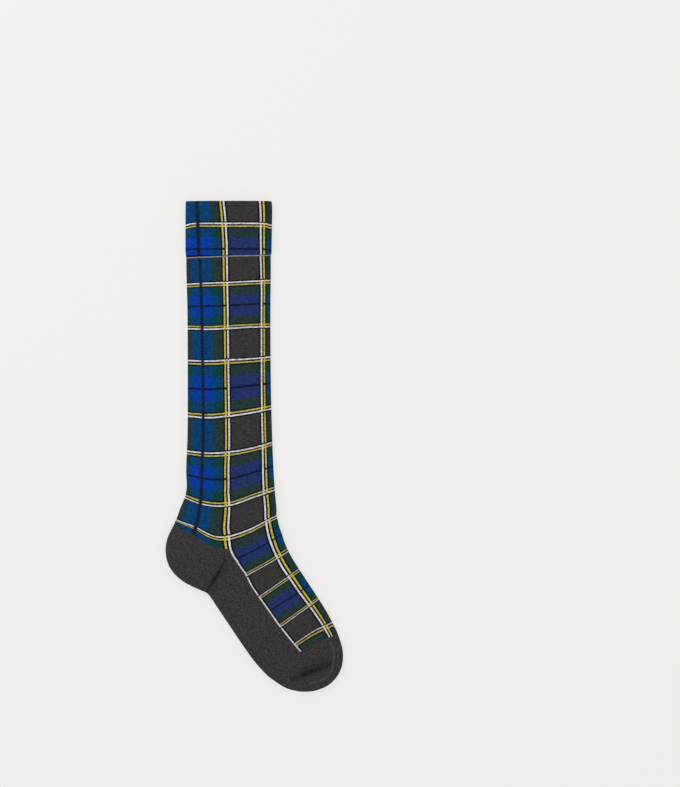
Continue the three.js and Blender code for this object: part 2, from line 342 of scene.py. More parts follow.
    def _top_profile(self) -> Pair:
        """Return shares across the top layer, and how much of the cloth lies before each."""
        shares = -np.cos(np.linspace(0, math.pi, 241))
        rise = self.leg_loft * (1 - self.fold_rise)
        heights = rise * np.sqrt(np.clip(1 - np.abs(shares) ** self.crown_power, 0, 1))
        steps = np.hypot(np.diff(shares) * self.leg_half, np.diff(heights))
        arcs = np.concatenate([[0.0], np.cumsum(steps)])
        return shares, arcs / arcs[-1]

    def spine(self, along: Numbers) -> Quad:
        """Return the middle line and the direction toward the front.

        Args:
            along: How far down the tube, from the welt line.

        Returns:
            x and y of the middle, and x and y of the direction.
        """
        turned = np.clip((along - self.straight_leg) / self.bend_radius, 0, self.foot_turn)
        to_x = np.cos(turned)
        to_y = np.sin(turned)
        before = np.clip(self.straight_leg - along, 0, None)
        after = np.clip(along - self.straight_leg - self.bend, 0, None)
        x = self.bend_radius * (1 - to_x) + after * math.sin(self.foot_turn)
        y = self.tangent - self.bend_radius * to_y + before - after * math.cos(self.foot_turn)
        return x, y, to_x, to_y

    def reach(self, along: Numbers) -> Triple:
        """Return how far the tube reaches back, front and up."""
        runs = self.runs
        return tuple(np.interp(along, runs[:, 0], runs[:, k]) for k in (1, 2, 3))

    def cuff_reach(self, up: Numbers) -> Triple:
        """Return how far the cuff reaches back, front and up, at a share of its height."""
        marks = [station.at for station in self.cuff_stations]
        back = np.interp(up, marks, [station.back for station in self.cuff_stations])
        front = np.interp(up, marks, [station.front for station in self.cuff_stations])
        loft = np.interp(up, marks, [station.loft for station in self.cuff_stations])
        return back * self.cuff_half, front * self.cuff_half, loft * self.cuff_loft

    def fold_reach(self, along: Numbers) -> Pair:
        """Return how far the folds lie behind and before the middle line, the cuff included."""
        back, front, _ = self.reach(along)
        cuff_back, cuff_front, _ = self.cuff_reach(-along / self.cuff_height)
        return np.where(along < 0, cuff_back, back), np.where(along < 0, cuff_front, front)

    def girth_at(self, share: Numbers) -> Numbers:
        """Return the place round the tube of a share across the top layer, 0 back to 1 front."""
        return np.interp(share * 2 - 1, self.top_shares, self.top_arcs)

    def share_at(self, girth: Numbers) -> Numbers:
        """Return the share across, seen from above, of a place round the tube."""
        across, _ = self.profile(girth, np.full_like(girth, self.leg_half), 0.0, self.leg_loft)
        return (across / self.leg_half + 1) / 2

    def profile(self, girth: Numbers, half: Numbers, floor: float, crown: Numbers) -> Pair:
        """Return one section's outline.

        Args:
            girth: Place round the tube: 0 to 1 over the top, 1 to 2 back along the underside.
            half: Half the width from fold to fold.
            floor: Height of the underside.
            crown: Height of the top.

        Returns:
            The distance across from the section's centre, and the height.
        """
        girth = np.mod(girth, 2.0)
        rise = floor + (crown - floor) * self.fold_rise
        share = np.interp(girth, self.top_arcs, self.top_shares)
        lift = np.sqrt(np.clip(1 - np.abs(share) ** self.crown_power, 0, 1))
        over = rise + (crown - rise) * lift
        roll = np.minimum(self.fold_roll, half * self.roll_limit)
        rolled_run = roll * self.roll_spread
        arc = rolled_run / (2 * rolled_run + 2 * (half - roll))
        down = girth - 1
        near = np.minimum(down, 1 - down)
        angle = np.clip(near / arc, 0, 1) * math.pi / 2
        side = np.where(down < 0.5, 1.0, -1.0)
        flat = half - roll
        rolled = side * (flat + roll * np.cos(angle))
        level = flat * (1 - 2 * (down - arc) / (1 - 2 * arc))
        under = np.where(near < arc, rolled, level)
        height = np.where(near < arc, rise - (rise - floor) * np.sin(angle), floor)
        top = girth <= 1
        return np.where(top, share * half, under), np.where(top, over, height)

    def in_foot(self, x: Numbers, y: Numbers) -> Pair:
        """Return how far ahead of the ankle a point lies, and how far across."""
        sine = math.sin(self.foot_turn)
        cosine = math.cos(self.foot_turn)
        return x * sine - y * cosine, x * cosine + y * sine

    def dent(self, x: Numbers, y: Numbers) -> Numbers:
        """Return how deep the creases press the top layer at a point seen from above."""
        ahead, across = self.in_foot(x, y)
        depth = np.zeros_like(ahead)
        scale = np.array([self.foot_ahead, self.foot_half])
        for crease in self.creases:
            start = np.array(crease.start) * scale
            run = np.array(crease.end) * scale - start
            t = ((ahead - start[0]) * run[0] + (across - start[1]) * run[1]) / (run @ run)
            inside = np.clip(t, 0, 1)
            away = np.hypot(ahead - start[0] - inside * run[0], across - start[1] - inside * run[1])
            depth = np.maximum(depth, crease.depth * np.exp(-((away / crease.width) ** 2)))
        return depth

    def fold_shade(self, points: Numbers) -> Numbers:
        """Return the painted crease shade at points of the top layer: how deep they lie in a crease,
        from 0 to 1.
        """
        dent = self.dent(points[:, 0] - self.ankle[0], points[:, 1] - self.ankle[1])
        return np.where(points[:, 2] > self.top_start, np.clip(dent / self.deep_crease, 0, 1), 0.0)

    def wave(self, x: Numbers, y: Numbers) -> Numbers:
        """Return the slight unevenness of soft cloth that lies flat."""
        slow = np.sin(x * 0.071 + 1.3) * np.sin(y * 0.043 + 0.4)
        quick = np.sin(x * 0.16 + y * 0.05 + 0.9) * np.sin(y * 0.11 - x * 0.04 + 2.1)
        return self.slow_wave * slow + self.quick_wave * quick

    def surface(self, along: Numbers, girth: Numbers, inset: float) -> Numbers:
        """Return points of the tube's wall in the frame, in millimetres.

        Args:
            along: How far down the tube from the welt line.
            girth: Place round the tube.
            inset: How far inside the outer face.

        Returns:
            One x, y and z for each point.
        """
        x, y, to_x, to_y = self.spine(along)
        back, front, crown = self.reach(along)
        half = (back + front) / 2 - inset
        across, z = self.profile(girth, half, inset, crown - inset)
        offset = (front - back) / 2 + across
        x = x + to_x * offset
        y = y + to_y * offset
        lift = np.clip(1 - np.abs(across / half) ** self.crown_power, 0, 1) ** 0.5
        top = np.mod(girth, 2.0) <= 1
        z = z - np.where(top, lift * (self.dent(x, y) - self.wave(x, y)), 0.0)
        return self.placed(x, y, z)

    def placed(self, x: Numbers, y: Numbers, z: Numbers) -> Numbers:
        """Return points measured from the ankle as points of the frame."""
        return np.stack([x + self.ankle[0], y + self.ankle[1], z + np.zeros_like(x)], axis=-1)


@dataclass
class KnitLay:
    """How the knitting lies on the body: where each wale and each course runs, in millimetres."""

    form: SockForm
    stripe_edge: float = 18.59
    white_line: float = 17.77
    black_line: float = 44.625
    back_fold: float = -62.475
    front_fold: float = 29.925
    courses: tuple[CourseLine, ...] = (
        CourseLine(-11.87, 1.7, 1.0, 0.1, -0.4, -1.0),
        CourseLine(15.49, 30.1, 29.1, 28.3, 27.2, 26.0),
        CourseLine(63.26, 76.5, 77.2, 76.3, 75.0, 74.4),
        CourseLine(94.24, 110.1, 110.7, 109.6, 108.3, 106.5),
        CourseLine(142.0, 168.4, 169.9, 168.1, 164.9, 160.7),
        CourseLine(173.0, 205.2, 207.3, 206.0, 202.3, 196.1),
        CourseLine(220.8, 254.1, 261.3, 261.9, 253.6, 245.9),
        CourseLine(251.7, 273.6, 281.0, 292.8, 291.0, 277.8),
        CourseLine(263.55, 276.2, 286.8, 304.4, 306.9, 296.6),
        CourseLine(275.6, 288.0, 300.0, 316.0, 317.0, 311.5),
        CourseLine(299.5, 334.0, 336.0, 338.0, 340.0, 341.3),
        CourseLine(330.5, 363.0, 363.5, 363.7, 363.2, 362.6),
        CourseLine(354.4, 382.0, 382.0, 382.0, 382.7, 382.8),
        CourseLine(378.3, 402.5, 402.5, 402.1, 401.2, 400.4),
        CourseLine(409.2, 426.0, 426.0, 425.4, 425.2, 428.6),
        CourseLine(419.5, 431.9, 433.8, 435.4, 437.2, 442.4),
    )
    wales: tuple[WaleLine, ...] = (
        WaleLine(-56, -34, -6, 32),
        WaleLine(-38, -33, -4, 33),
        WaleLine(-12, -32, -2.5, 33),
        WaleLine(38, -29.5, -2, 34),
        WaleLine(147, -27.5, -0.5, 34),
        WaleLine(200, -27.5, 0, 35),
        WaleLine(248, -29.5, -1, 36),
        WaleLine(273, -33, -0.5, 37.5),
        WaleLine(290, -39.5, -2.5, 37.5),
        WaleLine(300, -40, -4.5, 37),
        WaleLine(307, -39, -5.5, 36.5),
        WaleLine(320, -31.5, -4, 36),
        WaleLine(332, -22, -3, 35),
        WaleLine(351, -22, -4.5, 33),
        WaleLine(383, -22.5, -3.5, 33.5),
        WaleLine(401, -22.5, -3, 34.5),
        WaleLine(427, -22, -0.5, 35),
        WaleLine(434, -21, 0.5, 34.5),
    )
    heel_shares: tuple[float, ...] = (0.0, 0.2, 0.35, 0.532)
    heel_places: tuple[float, ...] = (332.5, 327.5, 321.2, 310.7)
    ankle_line: int = 8
    settle_rounds: int = 5
    heel_guess: float = 320.0
    heel_rounds: int = 6

    def __post_init__(self) -> None:
        """Note the courses where the zones start and end."""
        self.welt = self.courses[0].phase
        self.ankle = self.courses[self.ankle_line].phase
        self.toe = self.courses[-1].phase

    def wale_place(self, column: Numbers) -> Numbers:
        """Return how many millimetres a column lies from the middle of the charcoal band."""
        below = REPEAT_ACROSS - 2 * self.white_line + self.stripe_edge
        marks = [-self.stripe_edge, below, 2 * REPEAT_ACROSS - self.stripe_edge]
        return np.interp(column, [0, INSTEP_COLUMNS, COLUMNS_ROUND], marks)

    def girth(self, column: Numbers, along: Numbers) -> Numbers:
        """Return the place round the tube of a column of the grid.

        Args:
            column: Column of the grid, counted from the stripe over the front fold.
            along: How far down the tube.

        Returns:
            The place round the tube, from 0 to 2.
        """
        full = 2 * REPEAT_ACROSS
        place = np.mod(self.wale_place(column) - self.back_fold, full) + self.back_fold
        table = np.array([(w.along, w.black, w.stripe, w.second) for w in self.wales])
        back, front = self.form.fold_reach(table[:, 0])
        black, stripe, second = (
            self.form.girth_at(np.interp(along, table[:, 0], (table[:, k] + back) / (back + front)))
            for k in (1, 2, 3)
        )
        below = REPEAT_ACROSS - self.white_line
        marks = [self.back_fold, -self.black_line, -self.white_line, self.white_line]
        marks += [self.front_fold, below, self.back_fold + full]
        girths = [0 * along, black, stripe, second, 0 * along + 1, 2 - stripe, 0 * along + 2]
        out = np.zeros_like(along)
        for k in range(len(marks) - 1):
            t = (place - marks[k]) / (marks[k + 1] - marks[k])
            out = np.where((t >= 0) & (t <= 1), girths[k] + (girths[k + 1] - girths[k]) * t, out)
        return out

    def course(self, phase: Numbers, share: Numbers) -> Numbers:
        """Return how far down the tube a course lies.

        Args:
            phase: The course's place in the pattern.
            share: Share across from the back fold.

        Returns:
            The distance from the welt line.
        """
        table = np.array([line.places() for line in self.courses])
        phases = np.array([line.phase for line in self.courses])
        places = np.stack([np.interp(phase, phases, table[:, k]) for k in range(5)], axis=-1)
        return smooth(places, share)

    def settle(self, column: Numbers, phase: Numbers) -> Pair:
        """Return where a stitch lies on the tube.

        Args:
            column: Column of the grid.
            phase: Place of the course in the pattern.

        Returns:
            Along and girth.
        """
        along = self.course(phase, np.full_like(phase, 0.5))
        for _ in range(self.settle_rounds):
            girth = self.girth(column, along)
            along = self.course(phase, self.form.share_at(girth))
        return along, girth

    def heel_line(self, share: Numbers) -> Numbers:
        """Return how far down the tube the heel ends and the sole starts."""
        return through(list(self.heel_shares), np.array(self.heel_places), share)

    def heel_end(self, column: Numbers) -> Numbers:
        """Return how far down the tube the heel ends at each column."""
        along = np.full_like(column, self.heel_guess)
        for _ in range(self.heel_rounds):
            along = self.heel_line(self.form.share_at(self.girth(column, along)))
        return along

    def tartan(self, column: Numbers, down: Numbers, start: float, end: float, inset: float) -> Pair:
        """Return the points and stitches of a tartan zone.

        Args:
            column: Column of the grid.
            down: Share of the way from the first course to the last.
            start: The first course's place in the pattern.
            end: The last course's place in the pattern.
            inset: How far inside the outer face.

        Returns:
            The points in metres, and the knitting map.
        """
        phase = start + (end - start) * down
        along, girth = self.settle(column, phase)
        points = self.form.surface(along, girth, inset)
        return mm(points), stitches_at(self.wale_place(column), phase)


@dataclass(frozen=True)
class Band:
    """One band of the pattern, up to a distance from the middle of the repeat."""

    until: float
    colour: Colour


# The yarns, and what two of them look like where they are knitted together.
CHARCOAL: Colour = (54, 52, 53)
GREEN: Colour = (12, 62, 60)
BRIGHT_BLUE: Colour = (2, 57, 152)
GREY_GREEN: Colour = (35, 54, 53)
GREY_BLUE: Colour = (33, 49, 98)
TEAL: Colour = (6, 61, 107)
DARK_NAVY: Colour = (15, 27, 43)
NAVY: Colour = (8, 26, 64)
SOFT_NAVY: Colour = (22, 32, 52)
LINE_BLACK: Colour = (15, 16, 20)
WHITE: Colour = (208, 206, 211)
YELLOW: Colour = (190, 173, 62)
BRIGHT_YELLOW: Colour = (208, 182, 48)
DULL_YELLOW: Colour = (176, 163, 82)
# The pale welt line: partly linking yarn, partly a painted highlight on the welt's edge.
WELT_LINE: Colour = (140, 135, 144)


def linear(colour: Colour) -> Light:
    """Return a display colour as the linear colour that a shader takes."""
    parts = [c / 255 for c in colour]
    light = [p / 12.92 if p <= 0.04045 else ((p + 0.055) / 1.055) ** 2.4 for p in parts]
    return (*light, 1.0)


@dataclass(frozen=True)
class Sett:
    """The tartan's sett, counted in stitches from the middle of each repeat."""

    column_ends: tuple[float, ...] = (18.5, 20.5, 22.5, 24.5, 26.5, 28.5, 40.5, 51.5, 52.5)
    row_ends: tuple[float, ...] = (20.5, 22.5, 24.5, 26.5, 28.5, 30.5, 43.5, 58.5)
    row_white: Colour = WHITE
    row_yellow: Colour = DULL_YELLOW
    black_column: Colour = SOFT_NAVY

    def rows(self, charcoal: Colour, green: Colour, blue: Colour, black: Colour) -> list[Band]:
        """Return the bands down one block column, with the white and yellow lines across it."""
        colours = [charcoal, LINE_BLACK, self.row_white, LINE_BLACK, self.row_yellow, LINE_BLACK]
        colours += [green, blue]
        bands = [Band(end, colour) for end, colour in zip(self.row_ends, colours)]
        return [*bands, Band(HALF_COURSES, black)]

    def over_charcoal(self) -> list[Band]:
        """Return the rows over the charcoal columns."""
        return self.rows(CHARCOAL, GREY_GREEN, GREY_BLUE, DARK_NAVY)

    def over_green(self) -> list[Band]:
        """Return the rows over the green columns."""
        return self.rows(GREY_GREEN, GREEN, TEAL, DARK_NAVY)

    def over_blue(self) -> list[Band]:
        """Return the rows over the blue columns."""
        return self.rows(TEAL, TEAL, BRIGHT_BLUE, NAVY)

    def over_white(self) -> list[Band]:
        """Return the rows over the white lines."""
        return [Band(20.5, WHITE), Band(22.5, LINE_BLACK), Band(HALF_COURSES, WHITE)]

    def over_yellow(self) -> list[Band]:
        """Return the rows over the yellow lines."""
        lines = [Band(20.5, YELLOW), Band(22.5, LINE_BLACK), Band(28.5, BRIGHT_YELLOW)]
        return [*lines, Band(58.5, YELLOW), Band(HALF_COURSES, LINE_BLACK)]

    def over_outline(self) -> list[Band]:
        """Return the rows over the black outlines, which the white and yellow rows cross."""
        return self.rows(LINE_BLACK, LINE_BLACK, LINE_BLACK, LINE_BLACK)


@dataclass(frozen=True)
class Stitches:
    """The sockets that describe the stitch at a point."""

    wale: Socket
    course: Socket
    height: Socket
    place: Socket


class Shade:
    """One material and the wiring of its nodes."""

    def __init__(self, name: str) -> None:
        """Start a material with its cloth shader."""
        self.material = bpy.data.materials.new(name)
        self.material.use_nodes = True
        self.tree = self.material.node_tree
        self.cloth = self.tree.nodes["Principled BSDF"]

    def node(self, kind: str) -> bpy.types.Node:
        """Add a node."""
        return self.tree.nodes.new(kind)

    def join(self, source: Source, target: Socket) -> None:
        """Link a socket to an input, or set the input to a number or a colour."""
        if isinstance(source, Socket):
            self.tree.links.new(source, target)
        else:
            target.default_value = source

    def math(self, operation: str, *values: Socket | float) -> Socket:
        """Return the result of a sum on sockets or numbers."""
        node = self.node("ShaderNodeMath")
        node.operation = operation
        for value, target in zip(values, node.inputs):
            self.join(value, target)
        return node.outputs[0]

    def ramp(self, distance: Socket, bands: list[Band]) -> Socket:
        """Return the colour of the band that a distance falls in.

        Args:
            distance: Courses from the middle of the repeat.
            bands: The bands in order.

        Returns:
            The colour socket.
        """
        node = self.node("ShaderNodeValToRGB")
        stops = node.color_ramp
        stops.interpolation = "CONSTANT"
        stops.elements[0].position = 0.0
        stops.elements[0].color = linear(bands[0].colour)
        stops.elements.remove(stops.elements[1])
        for before, band in zip(bands, bands[1:]):
            stops.elements.new(before.until / HALF_COURSES).color = linear(band.colour)
        self.join(self.math("DIVIDE", distance, HALF_COURSES), node.inputs[0])
        return node.outputs[0]

    def mix(self, share: Socket, first: Source, second: Source) -> Socket:
        """Return one colour mixed into another."""
        node = self.node("ShaderNodeMix")
        node.data_type = "RGBA"
        self.join(share, node.inputs[0])
        self.join(first, node.inputs[6])
        self.join(second, node.inputs[7])
        return node.outputs[2]

    def vector(self, *parts: Socket | float) -> Socket:
        """Return a vector of up to three parts."""
        node = self.node("ShaderNodeCombineXYZ")
        for part, target in zip(parts, node.inputs):
            self.join(part, target)
        return node.outputs[0]

    def noise(self, place: Socket, scale: float, detail: float) -> Socket:
        """Return soft noise from 0 to 1."""
        node = self.node("ShaderNodeTexNoise")
        self.join(place, node.inputs["Vector"])
        node.inputs["Scale"].default_value = scale
        node.inputs["Detail"].default_value = detail
        return node.outputs["Fac"]

    def stretched(self, stitches: Stitches, across: float, down: float) -> Socket:
        """Return the stitch's place, scaled across and down."""
        wide = self.math("MULTIPLY", stitches.wale, across)
        return self.vector(wide, self.math("MULTIPLY", stitches.course, down), 0.0)

    def speck(self, place: Socket) -> Socket:
        """Return a number from 0 to 1 that is different for each stitch."""
        node = self.node("ShaderNodeTexWhiteNoise")
        node.noise_dimensions = "3D"
        self.join(place, node.inputs["Vector"])
        return node.outputs["Value"]

    def scaled(self, colour: Socket, by: Socket) -> Socket:
        """Return a colour made lighter or darker."""
        node = self.node("ShaderNodeVectorMath")
        node.operation = "SCALE"
        self.join(colour, node.inputs[0])
        self.join(by, node.inputs["Scale"])
        return node.outputs[0]


@dataclass(frozen=True)
class KnitFinish:
    """A plain or patterned fine knit of V-shaped stitches."""

    slant: float = 0.9
    relief: float = 0.00028
    relief_strength: float = 0.7
    roughness: float = 0.93
    sheen: float = 0.02
    sheen_roughness: float = 0.5
    specular: float = 0.06
    # How strongly shade is painted into the creases.
    painted_crease_shade: float = 0.45

    def stitches(self, shade: Shade) -> Stitches:
        """Wire the stitch grid of the piece's knitting map.

        Args:
            shade: The material.

        Returns:
            Which wale and course the point is in, and the height of its yarn.
        """
        knit = shade.node("ShaderNodeUVMap")
        knit.uv_map = "knit"
        split = shade.node("ShaderNodeSeparateXYZ")
        shade.join(knit.outputs[0], split.inputs[0])
        wale = shade.math("FLOOR", split.outputs[0])
        aside = shade.math("SUBTRACT", shade.math("FRACT", split.outputs[0]), 0.5)
        aside = shade.math("ABSOLUTE", aside)
        leaning = shade.math("MULTIPLY_ADD", aside, self.slant, split.outputs[1])
        leaning = shade.math("SUBTRACT", leaning, self.slant / 4)
        course = shade.math("FLOOR", leaning)
        within = shade.math("SUBTRACT", shade.math("FRACT", leaning), 0.5)
        arm = shade.math("MULTIPLY", shade.math("SUBTRACT", aside, 0.25), 4.0)
        arm = shade.math("SUBTRACT", 1.0, shade.math("MULTIPLY", arm, arm))
        bow = shade.math("MULTIPLY", shade.math("MULTIPLY", within, within), 2.0)
        height = shade.math("MULTIPLY", arm, shade.math("SUBTRACT", 1.0, bow))
        return Stitches(wale, course, height, shade.vector(wale, course, 0.0))

    def dress(self, shade: Shade, colour: Socket, stitches: Stitches) -> Material:
        """Darken the colour with painted crease shade, and join it and the yarn's relief to the cloth
        shader.

        Args:
            shade: The material.
            colour: The finished colour.
            stitches: The stitch at the point.

        Returns:
            The finished material.
        """
        # Painted crease shade: the colour is darkened by the vertex attribute 'fold', the share of
        # shade painted into the creases.
        fold = shade.node("ShaderNodeAttribute")
        fold.attribute_name = "fold"
        light = shade.math("MULTIPLY_ADD", fold.outputs["Fac"], -self.painted_crease_shade, 1.0)
        colour = shade.scaled(colour, light)
        bump = shade.node("ShaderNodeBump")
        bump.inputs["Strength"].default_value = self.relief_strength
        bump.inputs["Distance"].default_value = self.relief
        shade.join(stitches.height, bump.inputs["Height"])
        cloth = shade.cloth.inputs
        shade.join(colour, cloth["Base Color"])
        shade.join(bump.outputs[0], cloth["Normal"])
        cloth["Roughness"].default_value = self.roughness
        cloth["Specular IOR Level"].default_value = self.specular
        cloth["Sheen Weight"].default_value = self.sheen
        cloth["Sheen Roughness"].default_value = self.sheen_roughness
        return shade.material


@dataclass(frozen=True)
class TartanFinish(KnitFinish):
    """The tartan jacquard, one colour to a stitch."""

    sett: Sett = Sett()
    line_colour: Colour | None = None
    line_before: float = 0.0
    line_after: float = 0.0
    black_edge: float = 0.5
    odd_light: float = 0.2
    speck_light: float = 0.26
    fleck_light: float = 2.9
    relief_shade: float = 0.22

    def material(self, name: str) -> Material:
        """Return the tartan under a name."""
        shade = Shade(name)
        stitches = self.stitches(shade)
        across = shade.math("PINGPONG", stitches.wale, HALF_WALES)
        down = shade.math("PINGPONG", stitches.course, HALF_COURSES)
        sett = self.sett
        outline = shade.ramp(down, sett.over_outline())
        white = shade.ramp(down, sett.over_white())
        yellow = shade.ramp(down, sett.over_yellow())
        green = shade.ramp(down, sett.over_green())
        blue = shade.ramp(down, sett.over_blue())
        black = linear(sett.black_column)
        ramps = [outline, white, outline, yellow, outline, green, blue, black, black]
        colour = shade.ramp(down, sett.over_charcoal())
        for end, ramp in zip(sett.column_ends, ramps):
            inside = shade.math("GREATER_THAN", across, end)
            if end == sett.column_ends[-2]:
                inside = shade.math("MULTIPLY", inside, self.black_edge)
            colour = shade.mix(inside, colour, ramp)
        # A band of courses in one colour. On the cuff it is a painted shadow along the lower edge. On
        # the leg it is the pale welt line, partly linking yarn and partly a painted highlight.
        if self.line_colour:
            after = shade.math("GREATER_THAN", stitches.course, self.line_after)
            before = shade.math("LESS_THAN", stitches.course, self.line_before)
            inside = shade.math("MULTIPLY", after, before)
            colour = shade.mix(inside, colour, linear(self.line_colour))
        odd = shade.math("PINGPONG", shade.math("ADD", stitches.wale, stitches.course), 1.0)
        light = shade.math("MULTIPLY_ADD", odd, self.odd_light, 1.04)
        light = shade.math("MULTIPLY_ADD", shade.speck(stitches.place), self.speck_light, light)
        fleck = shade.noise(shade.stretched(stitches, 0.22, 0.8), 1.0, 2.0)
        fleck = shade.math("SUBTRACT", fleck, 0.5)
        light = shade.math("MULTIPLY_ADD", fleck, self.fleck_light, light)
        # Painted shade of the stitch relief: the yarn's raised middle is painted lighter and the dips
        # between stitches darker.
        yarn = shade.math("MULTIPLY_ADD", stitches.height, self.relief_shade, 0.86)
        light = shade.math("MULTIPLY", light, yarn)
        return self.dress(shade, shade.scaled(colour, light), stitches)


@dataclass(frozen=True)
class MarlFinish(KnitFinish):
    """A plain charcoal knit of marled yarn."""

    dark: Colour = (38, 36, 37)
    pale: Colour = (70, 67, 68)
    fleck_light: float = 2.7
    grain_light: float = 0.6
    relief_shade: float = 0.28

    def material(self, name: str) -> Material:
        """Return the charcoal knit under a name."""
        shade = Shade(name)
        stitches = self.stitches(shade)
        fleck = shade.noise(shade.stretched(stitches, 0.3, 0.8), 1.0, 2.0)
        grain = shade.speck(stitches.place)
        tone = shade.math("MULTIPLY_ADD", shade.math("SUBTRACT", fleck, 0.5), self.fleck_light, 0.5)
        grain = shade.math("SUBTRACT", grain, 0.5)
        tone = shade.math("MULTIPLY_ADD", grain, self.grain_light, tone)
        colour = shade.mix(tone, linear(self.dark), linear(self.pale))
        # Painted shade of the stitch relief: the yarn's raised middle is painted lighter and the dips
        # between stitches darker.
        light = shade.math("MULTIPLY_ADD", stitches.height, self.relief_shade, 1.08)
        return self.dress(shade, shade.scaled(colour, light), stitches)


@dataclass(frozen=True)
class FlatCloth:
    """A zone's knitting laid out flat, in millimetres, and how much of that rectangle it fills."""

    width: float
    length: float
    filled: float = 1.0


@dataclass
class KnitWall:
    """A knitted wall with an outer and an inner face, moved into shape from two flat grids."""

    form: SockForm
    zone: Zone
    finish: Material
    first: int
    last: int
    rows: int
    lay: Callable[[Numbers, Numbers, Layer], Pair]
    cloth: FlatCloth
    joined_start: bool = False
    poles: bool = False
    bm: bmesh.types.BMesh = field(default_factory=bmesh.new)
    places: dict = field(default_factory=dict)
    stitch: dict = field(default_factory=dict)
    layer: dict = field(default_factory=dict)

    def build(self) -> bpy.types.Object:
        """Build the wall, dress it and bind it to its node."""
        self.closed = self.last - self.first == COLUMNS_ROUND
        self.knit = self.bm.loops.layers.uv.new("knit")
        self.bake = self.bm.loops.layers.uv.new("OFBake")
        # The attribute 'fold' holds each vertex's share of painted crease shade.
        self.fold = self.bm.verts.layers.float.new("fold")
        outer = self._face(Layer.OUTER)
        inner = self._face(Layer.INNER)
        meeting = [v for v in outer + inner if self._meets(*self.places[v])]
        bmesh.ops.remove_doubles(self.bm, verts=meeting, dist=SAME_PLACE)
        self._rims()
        bmesh.ops.recalc_face_normals(self.bm, faces=self.bm.faces)
        piece = finish_piece(self.bm, self.finish, self.zone)
        return piece

    def _meets(self, across: float, down: float) -> bool:
        """Tell whether a tube's vertex lies on another one: at the seam, a rim or a pole."""
        return self.closed and (across in (0.0, 1.0) or down in (0.0, 1.0))

    def _rim_rows(self) -> tuple[int, int]:
        """Return how many rows the start and the end add to each face, to close a tube's wall."""
        if not self.closed:
            return 0, 0
        return int(not self.joined_start), int(not self.poles)

    def _face(self, layer: Layer) -> list[bmesh.types.BMVert]:
        """Add one face of the wall and return its vertices."""
        columns = self.last - self.first
        start, end = self._rim_rows()
        steps = self.rows + start + end
        before = set(self.bm.faces)
        made = bmesh.ops.create_grid(self.bm, x_segments=columns, y_segments=steps, size=0.5)
        verts = made["verts"]
        flat = np.round((np.array([v.co[:2] for v in verts]) + 0.5) * [columns, steps])
        column = self.first + flat[:, 0]
        down = np.clip((flat[:, 1] - start) / self.rows, 0, 1)
        points, knit = self.lay(column, down, layer)
        rim = (flat[:, 1] < start) | (flat[:, 1] > start + self.rows)
        if rim.any():
            other = Layer.INNER if layer is Layer.OUTER else Layer.OUTER
            points[rim] = (points[rim] + self.lay(column[rim], down[rim], other)[0]) / 2
        flat = flat / [columns, steps]
        # Painted crease shade for each vertex of the top layer.
        folds = self.form.fold_shade(points * 1000)
        for vertex, place, point, stitch, fold in zip(verts, flat, points, knit, folds):
            self.places[vertex] = (float(place[0]), float(place[1]))
            self.stitch[vertex] = (float(stitch[0]), float(stitch[1]))
            self.layer[vertex] = layer
            vertex[self.fold] = fold
            vertex.co = point
        for face in set(self.bm.faces) - before:
            for loop in face.loops:
                across, down = self.places[loop.vert]
                loop[self.knit].uv = self.stitch[loop.vert]
                loop[self.bake].uv = self._on_sheet(across, down, layer)
        return list(verts)

    def _on_sheet(self, across: float, down: float, layer: Layer) -> tuple[float, float]:
        """Return a place on the baking sheet: the outer face below, the inner face above."""
        aside = SHEET_EDGE + SHEET_WIDTH * across
        if layer is Layer.OUTER:
            return aside, SHEET_EDGE + OUTER_HEIGHT * down
        return aside, INNER_START + INNER_HEIGHT * down

    def _rims(self) -> None:
        """Close the border of an open zone, between the outer and the inner face."""
        border = [e for e in self.bm.edges if e.is_boundary]
        if border:
            made = bmesh.ops.bridge_loops(self.bm, edges=border)
            for face in made["faces"]:
                self._rim_places(face)

    def _rim_places(self, face: bmesh.types.BMFace) -> None:
        """Give a rim's face its place on the baking sheet and in the knitting."""
        rounds = [self._round(*self.places[loop.vert]) for loop in face.loops]
        wraps = max(rounds) - min(rounds) > 0.5
        for loop, place in zip(face.loops, rounds):
            place = place + 1 if wraps and place < 0.5 else place
            up = RIM_HEIGHT if self.layer[loop.vert] is Layer.INNER else 0.0
            loop[self.bake].uv = (RIM_EDGE + RIM_WIDTH * place, RIM_START + up)
            loop[self.knit].uv = self.stitch[loop.vert]

    def _round(self, across: float, down: float) -> float:
        """Return the place of a border's vertex round the zone."""
        if down == 0.0:
            return across / 4
        if across == 1.0:
            return 0.25 + down / 4
        if down == 1.0:
            return 0.75 - across / 4
        return 1.0 - down / 4


def finish_piece(bm: bmesh.types.BMesh, material: Material, zone: Zone) -> bpy.types.Object:
    """Make a finished piece that stands for its node, and free the shape it is made from.

    Args:
        bm: The piece's shape, in place.
        material: Its finish.
        zone: The node that it replaces.

    Returns:
        The piece, named after its zone.
    """
    name = f"sock_{zone.value}"
    mesh = bpy.data.meshes.new(name)
    bm.to_mesh(mesh)
    bm.free()
    mesh.materials.append(material)
    mesh.polygons.foreach_set("use_smooth", [True] * len(mesh.polygons))
    mesh.set_sharp_from_angle(angle=math.radians(50))
    piece = bpy.data.objects.new(name, mesh)
    bpy.context.scene.collection.objects.link(piece)
    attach(piece, "root")
    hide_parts(zone.value)
    log.info("%s: %d faces", name, len(mesh.polygons))
    return piece


